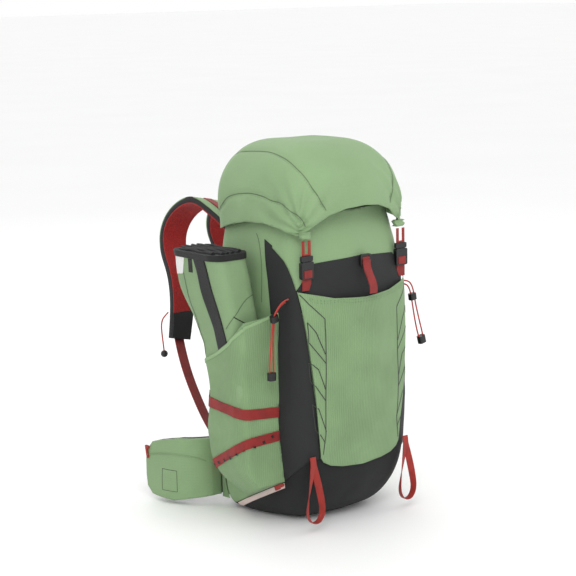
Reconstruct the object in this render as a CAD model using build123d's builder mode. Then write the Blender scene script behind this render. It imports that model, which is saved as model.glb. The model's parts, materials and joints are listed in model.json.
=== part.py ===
"""A 33-litre hiking backpack: bag, floating lid, harness, pockets, straps and a folded camp seat."""

from build123d import *
import math
import os

# The frame: X runs across the pack, -Y is its front, +Y the wearer's side, and Z is up.
# "left" is the side at -X. Each pair is drawn at +X and mirrored. Lengths are in millimetres.

# Driving sizes
FABRIC = 2.4                # wall of the sewn bag, with its lining and padding
OVERLAY = 1.3               # panels sewn over the bag
BAG_TOP = 530.0             # rim of the bag under the lid
LID_BASE = 484.0            # lowest edge of the lid
BACK_Y = 96.0               # flat back of the bag
POCKET_FRONT_DEPTH = 11.0   # how far the stretch pocket stands off the bag
WEBBING = 1.6               # thickness of all webbing
STRAP_WIDTH = 54.0          # shoulder strap
PAD_THICKNESS = 9.0         # foam of a shoulder strap

# Where the harness is anchored
SHOULDER_TOP = (48.0, 109.0, 470.0)
SHOULDER_TILT = 11.4

os.makedirs("parts", exist_ok=True)


def save(part, name):
    """Write one named sub-part."""
    part.label = name
    export_step(part, f"parts/{name}.step")


def save_pair(part, name):
    """Write a sub-part drawn on the +X side and its mirror image."""
    save(part.mirror(Plane.YZ), f"{name}_left")
    save(part, f"{name}_right")


def grown(corners, amount):
    """Corners of a closed, counter-clockwise outline, all pushed outwards by one amount."""
    moved = []
    for i, corner in enumerate(corners):
        before = Vector(*corners[i - 1])
        here = Vector(*corner)
        after = Vector(*corners[(i + 1) % len(corners)])
        out_a = (here - before).normalized().rotate(Axis.Z, -90)
        out_b = (after - here).normalized().rotate(Axis.Z, -90)
        moved.append(here + (out_a + out_b) * (amount / (1 + out_a.dot(out_b))))
    return [(p.X, p.Y) for p in moved]


def lofted(levels, amount=0.0):
    """A smooth solid through level outlines: each is a height, its corners and their radii."""
    with BuildPart() as body:
        for height, corners, radii in levels:
            with BuildSketch(Plane.XY.offset(height)):
                with BuildLine():
                    FilletPolyline(
                        *grown(corners, amount),
                        radius=[max(r + amount, 0.6) if r else 0 for r in radii],
                        close=True,
                    )
                make_face()
        loft()
    return body.part


def side_prism(outline, x_from, x_to):
    """A prism along X whose outline is given in Y and Z."""
    with BuildPart() as prism:
        with BuildSketch(Plane.YZ.offset(x_from)):
            with BuildLine():
                Polyline(*outline, close=True)
            make_face()
        extrude(amount=x_to - x_from)
    return prism.part


def front_prism(outline, y_from, y_to):
    """A prism along Y whose outline is given in X and Z."""
    with BuildPart() as prism:
        with BuildSketch(Plane.XZ.offset(-y_from)):
            with BuildLine():
                Polyline(*outline, close=True)
            make_face()
        extrude(amount=y_from - y_to)
    return prism.part


def beside(points, amount):
    """A line that runs beside the points, on their left for a positive amount."""
    moved = []
    for i, point in enumerate(points):
        back = Vector(*points[max(i - 1, 0)])
        ahead = Vector(*points[min(i + 1, len(points) - 1)])
        left = (ahead - back).normalized().rotate(Axis.Z, 90)
        moved.append(Vector(*point) + left * amount)
    return [(p.X, p.Y) for p in moved]


def band(plane, points, near, far, width):
    """A curved strip: its edge is drawn on the plane between two offsets of one smooth line."""
    near_line = beside(points, near)
    far_line = beside(points, far)
    with BuildPart() as strip:
        with BuildSketch(plane):
            with BuildLine():
                Spline(*near_line)
                Line(near_line[-1], far_line[-1])
                Spline(*reversed(far_line))
                Line(far_line[0], near_line[0])
            make_face()
        extrude(amount=width / 2, both=True)
    return strip.part


def block(x, y, z, corner=0.0):
    """A box between two values on each axis, with its corners rounded seen along Y."""
    with BuildPart() as box:
        with BuildSketch(Plane.XZ.offset(-y[0])):
            with Locations(((x[0] + x[1]) / 2, (z[0] + z[1]) / 2)):
                if corner:
                    RectangleRounded(x[1] - x[0], z[1] - z[0], corner)
                else:
                    Rectangle(x[1] - x[0], z[1] - z[0])
        extrude(amount=y[0] - y[1])
    return box.part


# ---------------------------------------------------------------- the bag's own shape

# One row per height: Z, front centre Y, front corner, widest point, back corner X, softness
BAG_LEVELS = [
    (0, -50, (58, -44), (88, 10), 84, 0.4),
    (10, -86, (80, -76), (112, 0), 116, 0.7),
    (30, -112, (98, -97), (125, -10), 125, 1.0),
    (60, -131, (110, -115), (131, -20), 127, 1.0),
    (120, -144, (118, -129), (135, -25), 127, 1.0),
    (220, -148, (122, -131), (136, -30), 126, 1.0),
    (320, -149, (122, -130), (136, -30), 125, 1.0),
    (400, -146, (120, -124), (134, -30), 124, 1.0),
    (460, -138, (116, -113), (130, -30), 120, 1.0),
    (500, -128, (110, -106), (123, -25), 114, 1.0),
    (BAG_TOP, -122, (104, -100), (116, -20), 108, 1.0),
]
BAG_BACK = {0: 74, 10: 89, 30: 96, 500: 94, BAG_TOP: 90}
BACK_TRIM = 1.5             # the drawn back stands this far out and is cut off flat
CORNER_RADII = (150, 42, 220, 38)

LID_LEVELS = [
    (LID_BASE, -152, (118, -119), (133, -15), 122, 1.0),
    (530, -159, (119, -124), (133, -10), 125, 1.0),
    (570, -155, (115, -120), (128, -10), 123, 1.0),
    (603, -139, (104, -103), (116, -15), 111, 1.0),
    (627, -108, (83, -78), (93, -20), 90, 0.7),
    (641, -62, (48, -44), (54, -15), 50, 0.3),
]
LID_BACK = {LID_BASE: 101, 530: 102, 570: 100, 603: 90, 627: 70, 641: 40}


def rounded_levels(rows, backs, extra_front=None, lift=0.0):
    """Turn the short rows into full symmetric outlines with their corner radii."""
    levels = []
    for height, front, corner, side, back_x, soft in rows:
        back_y = backs.get(height, BACK_Y + BACK_TRIM)
        bulge = extra_front(height) if extra_front else 0.0
        half = [corner, side, (back_x, back_y)]
        corners = [(0, front - bulge)] + half + [(-x, y) for x, y in reversed(half)]
        middle, front_r, side_r, back_r = [r * soft for r in CORNER_RADII]
        radii = [middle, front_r, side_r, back_r, back_r, side_r, front_r]
        level = height + lift if height == rows[0][0] else height
        levels.append((level, corners, radii))
    return levels


def bag_volume(amount, lift=0.0):
    """The bag's outer shape moved outwards by one amount, with its back cut flat."""
    rounded = lofted(rounded_levels(BAG_LEVELS, BAG_BACK, lift=lift), amount)
    behind = Pos(0, BACK_Y + min(amount, 0) + 50, 300) * Box(400, 100, 800)
    return rounded - behind


bag_skin = bag_volume(0.0)
bag_hollow = bag_volume(-FABRIC, lift=FABRIC)
bag_overlay = bag_volume(OVERLAY)
bag_yoke = bag_volume(1.0)
bag_clear = bag_volume(0.2)

# The seam between the bag and its tougher base runs down from front to back.
SEAM = [(-200, 150), (-131, 121), (-81, 78), (56, 12), (75, 8), (140, 4)]
boot_zone = side_prism(SEAM + [(140, -20), (-200, -20)], -220, 220)

with BuildPart() as main_bag:
    add(bag_skin)
    add(bag_hollow, mode=Mode.SUBTRACT)
    add(boot_zone, mode=Mode.SUBTRACT)
save(main_bag.part, "main_bag")

with BuildPart() as base_boot:
    add(bag_skin)
    add(boot_zone, mode=Mode.INTERSECT)
    add(bag_hollow, mode=Mode.SUBTRACT)
save(base_boot.part, "base_boot")

# ---------------------------------------------------------------- sewn panels

POCKET_TOP_Z = 404.0
POCKET_TOP_X = 117.0
POCKET_LOW_Z = 124.0
POCKET_LOW_X = 87.0
POCKET_SAG = 17.0
POCKET_LIP_BELOW = 24.0
YOKE_TOP_Z = 450.0
YOKE_TOP_X = 88.0

edge_slope = (POCKET_TOP_X - POCKET_LOW_X) / (POCKET_TOP_Z - POCKET_LOW_Z)
panel_cut_top_x = POCKET_TOP_X + (500 - POCKET_TOP_Z) * edge_slope
panel_cut_low_x = POCKET_LOW_X - POCKET_LOW_Z * edge_slope
front_window = front_prism(
    [(-panel_cut_low_x, 0), (panel_cut_low_x, 0), (panel_cut_top_x, 500), (-panel_cut_top_x, 500)],
    -60, -220,
)
side_window = side_prism(
    [(-42, 484), (-112, 449), (-200, 430), (-200, 60), (-78, 60), (-77, 200), (-70, 320), (-56, 420)],
    60, 220,
)

with BuildPart() as side_panel:
    add(bag_overlay)
    add(side_window, mode=Mode.INTERSECT)
    add(bag_skin, mode=Mode.SUBTRACT)
    add(front_window, mode=Mode.SUBTRACT)
    add(boot_zone, mode=Mode.SUBTRACT)
save_pair(side_panel.part, "side_panel")

yoke_outline = front_prism(
    [
        (-POCKET_TOP_X, POCKET_TOP_Z - 34), (POCKET_TOP_X, POCKET_TOP_Z - 34), (POCKET_TOP_X, POCKET_TOP_Z),
        (YOKE_TOP_X + 8, YOKE_TOP_Z - 10), (YOKE_TOP_X, YOKE_TOP_Z - 2), (0, YOKE_TOP_Z + 4),
        (-YOKE_TOP_X, YOKE_TOP_Z - 2), (-YOKE_TOP_X - 8, YOKE_TOP_Z - 10), (-POCKET_TOP_X, POCKET_TOP_Z),
    ],
    -60, -220,
)
with BuildPart() as front_yoke:
    add(bag_yoke)
    add(yoke_outline, mode=Mode.INTERSECT)
    add(front_window, mode=Mode.INTERSECT)
    add(bag_skin, mode=Mode.SUBTRACT)
save(front_yoke.part, "front_yoke")


def pocket_bulge(height):
    """The stretch pocket lies on the bag at its foot and stands off it towards the mouth."""
    share = (height - POCKET_LOW_Z) / 120
    return POCKET_FRONT_DEPTH * min(max(share, 0), 1)


def front_pocket_volume(amount):
    return lofted(rounded_levels(BAG_LEVELS, BAG_BACK, extra_front=pocket_bulge), amount)


pocket_outline = front_prism(
    [
        (-POCKET_TOP_X, POCKET_TOP_Z), (-60, POCKET_TOP_Z - POCKET_SAG * 0.8), (0, POCKET_TOP_Z - POCKET_SAG),
        (60, POCKET_TOP_Z - POCKET_SAG * 0.8), (POCKET_TOP_X, POCKET_TOP_Z), (POCKET_LOW_X, POCKET_LOW_Z),
        (POCKET_LOW_X - 6, POCKET_LOW_Z - 9), (POCKET_LOW_X - 20, POCKET_LOW_Z - 16.5),
        (POCKET_LOW_X - 44, POCKET_LOW_Z - 21.5), (0, POCKET_LOW_Z - POCKET_LIP_BELOW),
        (44 - POCKET_LOW_X, POCKET_LOW_Z - 21.5), (20 - POCKET_LOW_X, POCKET_LOW_Z - 16.5),
        (6 - POCKET_LOW_X, POCKET_LOW_Z - 9), (-POCKET_LOW_X, POCKET_LOW_Z),
    ],
    -60, -220,
)
front_pocket_outer = front_pocket_volume(2.8)
front_pocket_inner = front_pocket_volume(1.5)
with BuildPart() as front_pocket:
    add(front_pocket_outer)
    add(pocket_outline, mode=Mode.INTERSECT)
    add(front_pocket_inner, mode=Mode.SUBTRACT)
save(front_pocket.part, "front_pocket")

# ---------------------------------------------------------------- side stretch pockets

MESH = 1.4
# One row per height: Z, how far out, front edge Y and back edge Y of the outer face
SEAT_POCKET_ROWS = [
    (14, 132, -60, 22), (45, 145, -66, 28), (72, 172, -68, 34), (95, 188, -69, 38), (200, 196, -67, 44),
    (292, 201.5, -65, 53), (380, 206, -64, 55),
]
EMPTY_POCKET_ROWS = [
    (14, 132, -60, 20), (45, 142, -66, 30), (72, 150, -68, 40), (95, 154, -69, 45), (200, 160, -67, 50),
    (292, 161, -65, 50), (380, 158, -64, 50),
]
POCKET_EDGE_FRONT = -84.0
MOUTH = [(-90, 372), (-70, 352), (-40, 322), (0, 297), (45, 278), (BACK_Y, 266)]
pocket_foot = [(BACK_Y, 6), (75, 8), (56, 12), (-81, 78), (-90, 84)]


def pocket_window(lift):
    """What a side pocket covers seen from the side; its floor follows the base seam."""
    foot = [(y, z + lift) for y, z in pocket_foot]
    return side_prism(MOUTH + foot, 60, 260)


def side_pocket_volume(rows, amount, lift=0.0):
    """The space a side pocket fills, from inside the bag wall out to its mesh."""
    levels = []
    for height, out, front, back in rows:
        root = 118.0
        corners = [
            (90, POCKET_EDGE_FRONT), (root, POCKET_EDGE_FRONT), (out - 6, front), (out, front + 24),
            (out, back - 20), (out - 22, back + 8), (root, BACK_Y + 1), (90, BACK_Y + 1),
        ]
        level = height + lift if height == rows[0][0] else height
        levels.append((level, corners, (0, 0, 16, 12, 14, 20, 0, 0)))
    return lofted(levels, amount)


def side_pocket_shell(rows):
    """The mesh of one side pocket, with its floor, open at the mouth."""
    outer = side_pocket_volume(rows, 0.0)
    inside = side_pocket_volume(rows, -MESH) & pocket_window(MESH)
    headroom = Pos(0, 0, 2 * MESH) * inside
    with BuildPart() as pocket:
        add(outer)
        add(pocket_window(0.0), mode=Mode.INTERSECT)
        add(inside, mode=Mode.SUBTRACT)
        add(headroom, mode=Mode.SUBTRACT)
        add(bag_overlay, mode=Mode.SUBTRACT)
    return pocket.part.solids().sort_by(SortBy.VOLUME)[-1]


with BuildPart() as side_pocket_left:
    add(side_pocket_shell(SEAT_POCKET_ROWS).mirror(Plane.YZ))
save(side_pocket_left.part, "side_pocket_left")

with BuildPart() as side_pocket_right:
    add(side_pocket_shell(EMPTY_POCKET_ROWS))
save(side_pocket_right.part, "side_pocket_right")

STRAP_HALF = 8.5
COMPRESSION_LINES = [((-92, 199), (BACK_Y, 217)), ((-92, 165), (BACK_Y, 60))]


def compression_straps(rows):
    """Two webbing bands that lie over a side pocket."""
    outer = side_pocket_volume(rows, WEBBING + 0.3)
    inner = side_pocket_volume(rows, 0.3)
    pieces = []
    for (y0, z0), (y1, z1) in COMPRESSION_LINES:
        strip = side_prism(
            [(y0, z0 - STRAP_HALF), (y1, z1 - STRAP_HALF), (y1, z1 + STRAP_HALF), (y0, z0 + STRAP_HALF)], 60, 260
        )
        with BuildPart() as strap:
            add(outer)
            add(strip, mode=Mode.INTERSECT)
            add(inner, mode=Mode.SUBTRACT)
            add(bag_overlay, mode=Mode.SUBTRACT)
        pieces.append(strap.part.solids().sort_by(SortBy.VOLUME)[-1])
    return pieces


with BuildPart() as compression_straps_left:
    for strap in compression_straps(SEAT_POCKET_ROWS):
        add(strap.mirror(Plane.YZ))
save(compression_straps_left.part, "compression_straps_left")

with BuildPart() as compression_straps_right:
    for strap in compression_straps(EMPTY_POCKET_ROWS):
        add(strap)
save(compression_straps_right.part, "compression_straps_right")

# ---------------------------------------------------------------- base zip, on the left only

ZIP_HALF = 4.5
ZIP_DROP = 6.0              # the zip runs this far under the seam
ZIP_SPAN = (-80.0, 55.0)
zip_slope = (SEAM[3][1] - SEAM[2][1]) / (SEAM[3][0] - SEAM[2][0])


def zip_height(y):
    return SEAM[2][1] - ZIP_DROP + (y - SEAM[2][0]) * zip_slope


zip_strip = side_prism(
    [(y, zip_height(y) + side * ZIP_HALF) for side, y in
     ((-1, ZIP_SPAN[0]), (-1, ZIP_SPAN[1]), (1, ZIP_SPAN[1]), (1, ZIP_SPAN[0]))],
    -220, -60,
)
with BuildPart() as base_zip:
    add(bag_overlay)
    add(zip_strip, mode=Mode.INTERSECT)
    add(bag_clear, mode=Mode.SUBTRACT)
save(base_zip.part, "base_zip")

ZIP_SLIDER_Y = -76.0
zip_slider_plane = Plane(
    origin=(-131.0, ZIP_SLIDER_Y, zip_height(ZIP_SLIDER_Y)),
    x_dir=(0, 1, zip_slope),
    z_dir=(-1, 0, 0),
)
with BuildPart() as base_zip_slider:
    with BuildSketch(zip_slider_plane):
        RectangleRounded(13, 8, 2)
    extrude(amount=3.2)
    with BuildSketch(zip_slider_plane.offset(3.2)):
        with Locations((-10, 0)):
            SlotOverall(24, 5)
    extrude(amount=2.0)
save(base_zip_slider.part, "base_zip_slider")

# ---------------------------------------------------------------- collar inside the rim

COLLAR_TOP = 547.0
COLLAR_CLOTH = 1.2
COLLAR_ROWS = [
    (BAG_TOP + 0.1, -120, (102, -98), (114, -20), 106, 1.0),
    (COLLAR_TOP, -84, (80, -72), (88, -18), 82, 0.8),
]
collar_levels = rounded_levels(COLLAR_ROWS, {BAG_TOP + 0.1: 88, COLLAR_TOP: 70})

with BuildPart() as collar:
    add(lofted(collar_levels))
    add(lofted(collar_levels, -COLLAR_CLOTH), mode=Mode.SUBTRACT)
save(collar.part, "collar")

with BuildPart() as collar_drawcord:
    with BuildLine() as cord_ring:
        FilletPolyline(
            (-78, -74, COLLAR_TOP + 1.6), (78, -74, COLLAR_TOP + 1.6), (80, 64, COLLAR_TOP + 1.6),
            (-80, 64, COLLAR_TOP + 1.6), radius=30, close=True,
        )
    with BuildSketch(Plane(origin=cord_ring.line @ 0, z_dir=cord_ring.line % 0)):
        Circle(1.5)
    sweep()
save(collar_drawcord.part, "collar_drawcord")

# ---------------------------------------------------------------- frame and back

SHEET_BACK = BACK_Y - FABRIC - 0.6
save(block((-92, 92), (SHEET_BACK - 1.5, SHEET_BACK), (62, 438), 14), "frame_sheet")
STAY_BACK = SHEET_BACK - 1.8
with BuildPart() as frame_stay:
    with BuildSketch(Plane.XZ.offset(-STAY_BACK)):
        with Locations((0, 250)):
            RectangleRounded(120, 350, 30)
            RectangleRounded(104, 334, 24, mode=Mode.SUBTRACT)
    extrude(amount=3.0)
save(frame_stay.part, "frame_stay")

PANEL_Y = BACK_Y + 0.3
RIDGE_COUNT = 9
RIDGE_PITCH = 34.0
with BuildPart() as back_panel:
    with BuildSketch(Plane.XZ.offset(-PANEL_Y)):
        with Locations((0, 268)):
            RectangleRounded(196, 310, 22)
    extrude(amount=-5.0)
    with BuildSketch(Plane.XZ.offset(-PANEL_Y - 5.0)):
        with Locations((-46, 268), (46, 268)):
            with GridLocations(0, RIDGE_PITCH, 1, RIDGE_COUNT):
                RectangleRounded(70, 24, 8)
    extrude(amount=-6.0)
save(back_panel.part, "back_panel")

with BuildPart() as lumbar_pad:
    with BuildSketch(Plane.XZ.offset(-PANEL_Y)):
        with Locations((0, 66)):
            RectangleRounded(182, 84, 24)
    extrude(amount=-14.0)
    fillet(lumbar_pad.faces().sort_by(Axis.Y)[-1].edges(), 5)
save(lumbar_pad.part, "lumbar_pad")

with BuildPart() as yoke_panel:
    with BuildSketch(Plane.XZ.offset(-PANEL_Y)):
        with Locations((0, 456)):
            RectangleRounded(160, 54, 16)
    extrude(amount=-6.0)
    fillet(yoke_panel.faces().sort_by(Axis.Y)[-1].edges(), 3)
save(yoke_panel.part, "yoke_panel")

# ---------------------------------------------------------------- lid

LID_WALL = 2.2
UNDERSIDE_Z = 556.0
lid_skin = lofted(rounded_levels(LID_LEVELS, LID_BACK))
lid_hollow = lofted(rounded_levels(LID_LEVELS, LID_BACK, lift=-2.0), -LID_WALL)
side_arches = side_prism(
    [(-230, 494), (-118, 494), (-86, 505), (-45, 511.5), (0, 510), (45, 501), (84, 490), (130, 488.5),
     (130, 470), (-230, 470)],
    -220, 220,
)
front_arch = front_prism(
    [(-112, 496), (-92, 509), (-66, 526), (-36, 536), (0, 539), (36, 536), (66, 526), (92, 509), (112, 496),
     (112, 470), (-112, 470)],
    -92, -220,
)
lid_top_cut = Pos(0, 0, 641 - LID_WALL + 10) * Box(300, 300, 20)
with BuildPart() as lid_cavity:
    add(lid_hollow)
    add(lid_top_cut, mode=Mode.SUBTRACT)
LID_STRAP_X = 104.0
LID_STRAP_Y = -126.0
STRAP_PIVOT_Z = 489.0
lid_strap_tab = block((LID_STRAP_X - 9, LID_STRAP_X + 9), (-127.5, -118.0), (STRAP_PIVOT_Z + 2.0, 502))
with BuildPart() as lid_shell:
    add(lid_skin)
    add(lid_cavity.part, mode=Mode.SUBTRACT)
    add(side_arches, mode=Mode.SUBTRACT)
    add(front_arch, mode=Mode.SUBTRACT)
    add(lid_strap_tab)
    add(lid_strap_tab.mirror(Plane.YZ))
save(lid_shell.part.solids().sort_by(SortBy.VOLUME)[-1], "lid_shell")

with BuildPart() as lid_underside:
    add(lid_cavity.part)
    with BuildSketch(Plane.XY.offset(UNDERSIDE_Z)):
        Rectangle(400, 400)
    extrude(amount=1.6, mode=Mode.INTERSECT)
save(lid_underside.part, "lid_underside")

LID_ZIP_Z = 556.0
LID_ZIP_Y = 102.4
with BuildPart() as lid_zip_slider:
    with BuildSketch(Plane.XZ.offset(-LID_ZIP_Y)):
        with Locations((-62, LID_ZIP_Z)):
            RectangleRounded(12, 8, 2)
        with Locations((-62, LID_ZIP_Z - 14)):
            SlotOverall(26, 5, rotation=90)
    extrude(amount=-3.0)
save(lid_zip_slider.part, "lid_zip_slider")

# ---------------------------------------------------------------- lid straps and front buckles

PLUG_TOP = 463.0
PLUG_LOW = 437.0
SOCKET_LOW = 425.0
SOCKET_HALF = 12.5
SOCKET_DEPTH = 8.0
SOCKET_WALL = 1.6
PLUG_CLEAR = 0.1
strap_y = (LID_STRAP_Y - WEBBING / 2, LID_STRAP_Y + WEBBING / 2)

with BuildPart() as lid_strap:
    for offset_x in (-6.5, 6.5):
        centre = LID_STRAP_X + offset_x
        add(block((centre - 2.5, centre + 2.5), strap_y, (PLUG_TOP + 3.4, STRAP_PIVOT_Z - 1.0)))
    add(block((LID_STRAP_X - 9, LID_STRAP_X + 9), strap_y, (PLUG_TOP + 0.2, PLUG_TOP + 3.4)))
save_pair(lid_strap.part, "lid_strap")

with BuildPart() as buckle_plug:
    with BuildSketch(Plane.XZ.offset(-LID_STRAP_Y + 2.6)):
        with Locations((LID_STRAP_X, PLUG_TOP - 4.5)):
            RectangleRounded(24, 9, 2)
    extrude(amount=-5.2)
    plug_half_y = SOCKET_DEPTH / 2 - SOCKET_WALL - PLUG_CLEAR
    with BuildSketch(Plane.XZ.offset(-LID_STRAP_Y + plug_half_y)):
        for prong_x in (-6.5, 0, 6.5):
            with Locations((LID_STRAP_X + prong_x, (PLUG_TOP - 9 + PLUG_LOW) / 2 + 1)):
                Rectangle(3.4, PLUG_TOP - 9 - PLUG_LOW + 2)
    extrude(amount=-2 * plug_half_y)
save_pair(buckle_plug.part, "buckle_plug")

SOCKET_TOP = PLUG_TOP - 9.6
with BuildPart() as buckle_socket:
    with BuildSketch(Plane.XZ.offset(-LID_STRAP_Y + SOCKET_DEPTH / 2)):
        with Locations((LID_STRAP_X, (SOCKET_TOP + SOCKET_LOW) / 2)):
            RectangleRounded(2 * SOCKET_HALF, SOCKET_TOP - SOCKET_LOW, 3)
    extrude(amount=-SOCKET_DEPTH)
    hollow_z = (PLUG_LOW - 2, SOCKET_TOP + 5)
    with BuildSketch(Plane.XZ.offset(-LID_STRAP_Y + SOCKET_DEPTH / 2 - SOCKET_WALL)):
        with Locations((LID_STRAP_X, (hollow_z[0] + hollow_z[1]) / 2)):
            Rectangle(2 * SOCKET_HALF - 2 * SOCKET_WALL, hollow_z[1] - hollow_z[0])
    extrude(amount=-(SOCKET_DEPTH - 2 * SOCKET_WALL), mode=Mode.SUBTRACT)
    add(bag_yoke, mode=Mode.SUBTRACT)

CENTRE_X = 7.0
with BuildPart() as centre_ladderlock:
    with BuildSketch(Plane.XZ.offset(147)):
        with Locations((CENTRE_X, 447)):
            RectangleRounded(23, 19, 3)
            with Locations((0, 4.5), (0, -4.5)):
                Rectangle(16, 3, mode=Mode.SUBTRACT)
    extrude(amount=-4.5)
    add(bag_yoke, mode=Mode.SUBTRACT)

with BuildPart() as front_buckles:
    add(buckle_socket.part)
    add(buckle_socket.part.mirror(Plane.YZ))
    add(centre_ladderlock.part)
save(front_buckles.part, "front_buckles")

with BuildPart() as front_webbing:
    web = block((LID_STRAP_X - 9, LID_STRAP_X + 9), strap_y, (POCKET_TOP_Z + 2, SOCKET_LOW - 0.2))
    add(web)
    add(web.mirror(Plane.YZ))
    add(bag_yoke, mode=Mode.SUBTRACT)
save(front_webbing.part, "front_webbing")

tail_line = [(-149.4, 447), (-152.4, 430), (-163.0, 411), (-165.2, 393)]
save(band(Plane.YZ.offset(CENTRE_X), tail_line, 0, WEBBING, 16), "centre_strap")

# ---------------------------------------------------------------- shoulder straps

sin_tilt = math.sin(math.radians(SHOULDER_TILT))
cos_tilt = math.cos(math.radians(SHOULDER_TILT))
strap_plane = Plane(origin=SHOULDER_TOP, x_dir=(0, 1, 0), z_dir=(cos_tilt, 0, sin_tilt))


def on_strap(points):
    """Points given in Y and Z, as places on the tilted plane of a shoulder strap."""
    return [(y - SHOULDER_TOP[1], (z - SHOULDER_TOP[2]) / cos_tilt) for y, z in points]


COVER = 1.8
LINER = 2.0
STRAP_LINE = on_strap(
    [(119, 480), (150, 495), (190, 510), (236, 521), (280, 508), (310, 480), (319, 450), (308, 415),
     (286, 384), (270, 350), (262, 310), (259, 268)]
)
strap_taper = front_prism(
    [(3, 560), (57, 560), (88, 410), (110, 262), (70, 262), (36, 410)], 420, 60
)


def strap_layer(near, far):
    with BuildPart() as layer:
        add(band(strap_plane, STRAP_LINE, near, far, STRAP_WIDTH + 20))
        add(strap_taper, mode=Mode.INTERSECT)
    return layer.part


save_pair(strap_layer(-COVER, 0), "shoulder_cover")
save_pair(strap_layer(-COVER - PAD_THICKNESS, -COVER), "shoulder_pad")
save_pair(strap_layer(-COVER - PAD_THICKNESS - LINER, -COVER - PAD_THICKNESS), "shoulder_liner")

LOWER_LINE = on_strap([(258, 276), (246, 256), (215, 214), (176, 174), (140, 143), (120, 129)])
LIFTER_LINE = on_strap([(226, 522), (190, 512.2), (150, 497.2), (128, 487), (110.5, 478.5)])
with BuildPart() as shoulder_webbing:
    add(band(strap_plane, LOWER_LINE, 0, WEBBING, 20))
    add(band(strap_plane, LIFTER_LINE, 0.2, 0.2 + WEBBING, 18))
    add(strap_layer(-14, 0.1), mode=Mode.SUBTRACT)
save_pair(shoulder_webbing.part, "shoulder_webbing")

STERNUM_Z = 388.0
with BuildPart() as sternum_strap:
    with BuildSketch(Plane.XZ.offset(-276)):
        with Locations((30, STERNUM_Z)):
            Rectangle(20, 12)
        with Locations((14, STERNUM_Z)):
            RectangleRounded(14, 18, 2)
    extrude(amount=-WEBBING)
    with BuildSketch(Plane.XZ.offset(-274.5)):
        with Locations((14, STERNUM_Z)):
            RectangleRounded(14, 18, 2)
    extrude(amount=-5)
save_pair(sternum_strap.part, "sternum_strap")

# ---------------------------------------------------------------- hip belt

FIN_TOP = 120.0
FIN_LOW = 8.0
FIN_MID = (FIN_TOP + FIN_LOW) / 2
FIN_LINE = [(114, 110), (140, 117), (163, 138), (177, 173), (181, 218)]
fin_outline = side_prism(
    [(100, FIN_LOW + 10), (150, FIN_LOW), (200, FIN_LOW + 4), (214, FIN_LOW + 16), (219, FIN_MID - 6),
     (214, FIN_TOP - 32), (196, FIN_TOP - 12), (150, FIN_TOP - 2), (100, FIN_TOP)],
    60, 260,
)
fin_plane = Plane.XY.offset(FIN_MID)


def fin_layer(near, far):
    with BuildPart() as layer:
        add(band(fin_plane, FIN_LINE, near, far, 140))
        add(fin_outline, mode=Mode.INTERSECT)
    return layer.part


FIN_FOAM = 10.0
FIN_POCKET = 14.0
save_pair(fin_layer(0, FIN_FOAM), "hip_pad")
save_pair(fin_layer(-FIN_POCKET, 0), "hip_pocket")

HIP_WEB_LINE = [(172, 213), (160, 231), (140, 241), (122, 245)]
with BuildPart() as hip_webbing:
    add(band(fin_plane, HIP_WEB_LINE, 0, WEBBING, 25))
    add(fin_layer(-FIN_POCKET, FIN_FOAM + 0.05), mode=Mode.SUBTRACT)
save_pair(hip_webbing.part.solids().sort_by(SortBy.VOLUME)[-1], "hip_webbing")
save_pair(block((98, 121.5), (241.5, 249.5), (FIN_MID - 17, FIN_MID + 17), 5), "hip_buckle")

HIP_ZIP_Z = 96.0
with BuildPart() as hip_zip_slider:
    with BuildSketch(Plane.YZ.offset(196.2)):
        with Locations((208, HIP_ZIP_Z)):
            RectangleRounded(9, 6, 1.5)
        with Locations((210, HIP_ZIP_Z - 9)):
            SlotOverall(24, 4.6, rotation=78)
    extrude(amount=2.4)
save_pair(hip_zip_slider.part, "hip_zip_slider")

# ---------------------------------------------------------------- grab handle and axe loops

HANDLE_Y = 109.2
HANDLE_LINE = [(-18, 484), (-18, 474), (-11, 463), (0, 459), (11, 463), (18, 474), (18, 484)]
save(band(Plane.XZ.offset(-HANDLE_Y), HANDLE_LINE, 0, WEBBING, 12), "grab_handle")

AXE_X = 104.0
AXE_Z = 120.0
with BuildPart() as ice_axe_loop:
    with BuildSketch(Plane.XZ.offset(134.0)):
        with BuildLine():
            Polyline((AXE_X - 8, AXE_Z), (AXE_X + 8, AXE_Z), (AXE_X + 22, 40), (AXE_X + 17, 24), (AXE_X, 15),
                     (AXE_X - 17, 24), (AXE_X - 22, 40), close=True)
        make_face()
        with BuildLine():
            Polyline((AXE_X, AXE_Z - 30), (AXE_X + 11, 42), (AXE_X + 8, 32), (AXE_X, 27), (AXE_X - 8, 32),
                     (AXE_X - 11, 42), close=True)
        make_face(mode=Mode.SUBTRACT)
    extrude(amount=WEBBING * 1.5)
save_pair(ice_axe_loop.part, "ice_axe_loop")

# ---------------------------------------------------------------- elastic cords

CORD = 2.6
CORD_CLOSE = 2.8


def cord_radii(points, tightest):
    """Bend radii for a cord: each arc takes up 0.45 of the shorter run beside it."""
    radii = []
    for before, here, after in zip(points, points[1:], points[2:]):
        run_in = Vector(*here) - Vector(*before)
        run_out = Vector(*after) - Vector(*here)
        half_turn = math.radians(run_in.get_angle(run_out)) / 2
        radius = 0.45 * min(run_in.length, run_out.length) / math.tan(half_turn)
        radii.append(radius)
    print("cord radii", [round(r, 1) for r in radii], "tightest", round(min(radii), 1), "least", tightest)
    return radii


def cord_solid(points, diameter, tightest):
    """A round cord along straight runs joined by arcs."""
    with BuildPart() as cord:
        with BuildLine() as route:
            FilletPolyline(*points, radius=cord_radii(points, tightest))
        with BuildSketch(Plane(origin=route.line @ 0, z_dir=route.line % 0)):
            Circle(diameter / 2)
        sweep()
    run_length = sum(edge.length for edge in route.edges())
    print("cord length", round(run_length, 1), "volume", round(cord.part.volume, 1),
          "section x length", round(run_length * math.pi * diameter ** 2 / 4, 1))
    return cord.part


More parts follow.
